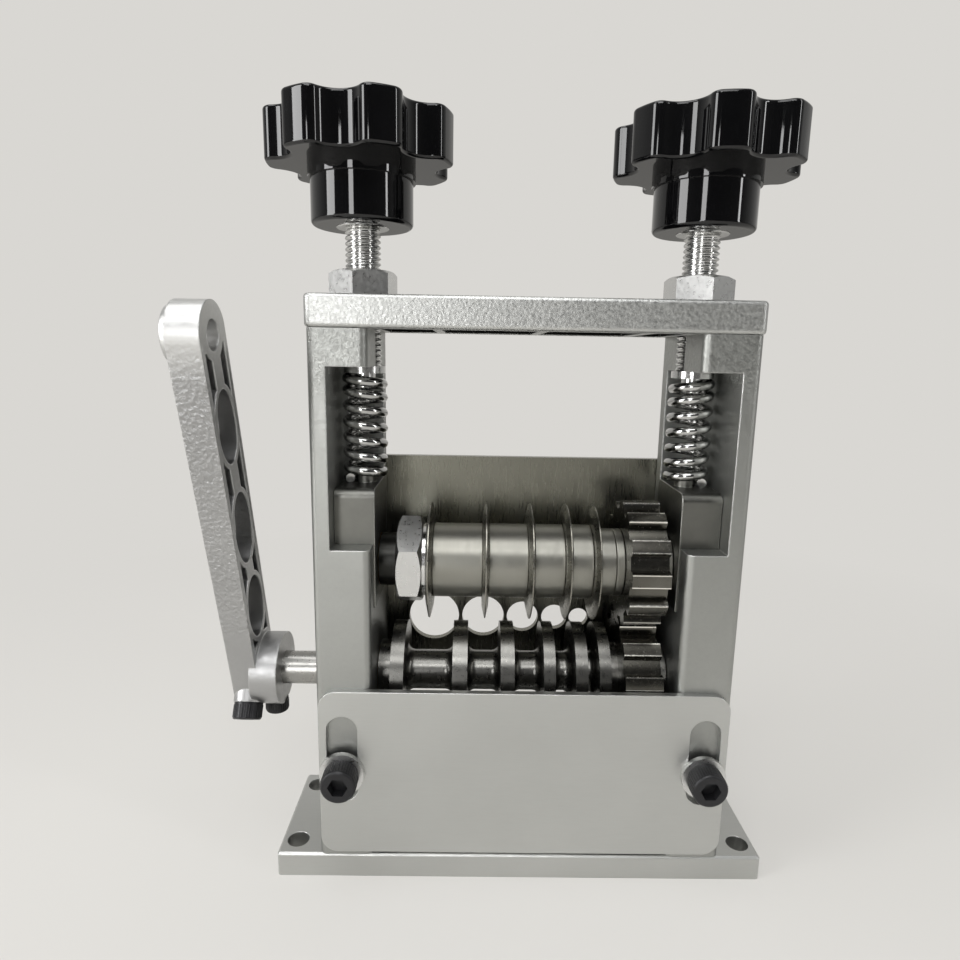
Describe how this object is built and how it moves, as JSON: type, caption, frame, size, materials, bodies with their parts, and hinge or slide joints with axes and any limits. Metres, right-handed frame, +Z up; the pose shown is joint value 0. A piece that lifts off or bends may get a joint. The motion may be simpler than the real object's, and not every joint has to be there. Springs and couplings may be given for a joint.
{
  "type": "hand crank wire stripper",
  "caption": "Bench wire stripper: a crank turns a grooved feed roller geared to a spring-pressed shaft of round blades, set by two star knobs.",
  "frame": {"origin": "middle of the base plate's underside, at the centre of its four mounting holes", "axes": "+X along the shafts from the crank side to the gear side, +Y from the front guard to the rear guide plate, +Z up"},
  "size_m": [0.1635, 0.0633, 0.2188],
  "materials": {
    "satin_aluminium": "satin",
    "satin_steel_sheet": "satin",
    "bright_steel": "bright",
    "black_oxide_steel": "satin black oxide",
    "bronze_bush": "satin",
    "dark_oiled_steel": "dark oiled, machined",
    "warm_grey_steel": "turned",
    "blade_steel": "ground",
    "black_knob": "glossy"
  },
  "bodies": {
    "frame": {"base_plate": "satin_aluminium", "left_side_frame": "satin_aluminium", "right_side_frame": "satin_aluminium", "top_plate": "satin_aluminium", "rear_guide_plate": "satin_steel_sheet", "top_nuts": "bright_steel", "top_plate_screws": "black_oxide_steel", "base_screws": "black_oxide_steel", "rear_plate_screws": "black_oxide_steel", "guard_screws": "black_oxide_steel", "guard_washers": "bright_steel", "left_shaft_bush": "bronze_bush", "right_shaft_bush": "bronze_bush", "left_spring": "bright_steel", "right_spring": "bright_steel"},
    "guard": {"front_guard_plate": "satin_aluminium"},
    "crank": {"feed_roller": "dark_oiled_steel", "drive_gear": "dark_oiled_steel", "drive_gear_key": "dark_oiled_steel", "drive_gear_collar": "dark_oiled_steel", "crank_arm": "satin_aluminium", "crank_arm_screw": "black_oxide_steel", "crank_set_screw": "black_oxide_steel"},
    "carriage": {"left_slide_block": "warm_grey_steel", "right_slide_block": "warm_grey_steel", "left_block_bush": "bronze_bush", "right_block_bush": "bronze_bush"},
    "cutter": {"cutter_shaft": "warm_grey_steel", "cutter_key": "dark_oiled_steel", "blade_1": "blade_steel", "blade_2": "blade_steel", "blade_3": "blade_steel", "blade_4": "blade_steel", "blade_5": "blade_steel", "spacer_1": "warm_grey_steel", "spacer_2": "warm_grey_steel", "spacer_3": "warm_grey_steel", "spacer_4": "warm_grey_steel", "spacer_5": "warm_grey_steel", "end_collar": "warm_grey_steel", "cutter_gear": "dark_oiled_steel", "cutter_nut": "bright_steel", "cutter_nut_washer": "bright_steel"},
    "left_seat": {"left_spring_seat": "bright_steel"},
    "right_seat": {"right_spring_seat": "bright_steel"},
    "left_screw": {"left_pressure_screw": "bright_steel", "left_knob": "black_knob"},
    "right_screw": {"right_pressure_screw": "bright_steel", "right_knob": "black_knob"}
  },
  "joints": [
    {"name": "guard_slide", "type": "slide", "parent": "frame", "child": "guard", "axis": [0, 0, 1], "range_m": [-0.0095, 0.006]},
    {"name": "crank_turn", "type": "hinge", "parent": "frame", "child": "crank", "pos_m": [0, 0, 0.058], "axis": [1, 0, 0], "continuous": true},
    {"name": "carriage_lift", "type": "slide", "parent": "frame", "child": "carriage", "axis": [0, 0, 1], "range_m": [0, 0.0016], "stiffness_N_per_m": 3000, "springref_m": -0.004, "deforming": ["left_spring", "right_spring"]},
    {"name": "cutter_turn", "type": "hinge", "parent": "carriage", "child": "cutter", "pos_m": [0, 0, 0.094], "axis": [1, 0, 0], "continuous": true},
    {"name": "left_seat_slide", "type": "slide", "parent": "frame", "child": "left_seat", "axis": [0, 0, 1], "range_m": [-0.0061, 0], "deforming": ["left_spring"]},
    {"name": "left_knob_turn", "type": "hinge", "parent": "left_seat", "child": "left_screw", "pos_m": [-0.0477, 0, 0.152], "axis": [0, 0, 1], "range_deg": [-1440, 0]},
    {"name": "right_seat_slide", "type": "slide", "parent": "frame", "child": "right_seat", "axis": [0, 0, 1], "range_m": [-0.0061, 0], "deforming": ["right_spring"]},
    {"name": "right_knob_turn", "type": "hinge", "parent": "right_seat", "child": "right_screw", "pos_m": [0.0477, 0, 0.152], "axis": [0, 0, 1], "range_deg": [-1440, 0]}
  ],
  "couplings": [
    {"joint": "cutter_turn", "follows": "crank_turn", "ratio": -1},
    {"joint": "left_seat_slide", "follows": "left_knob_turn", "m_per_rad": 0.00023873},
    {"joint": "right_seat_slide", "follows": "right_knob_turn", "m_per_rad": 0.00023873}
  ]
}
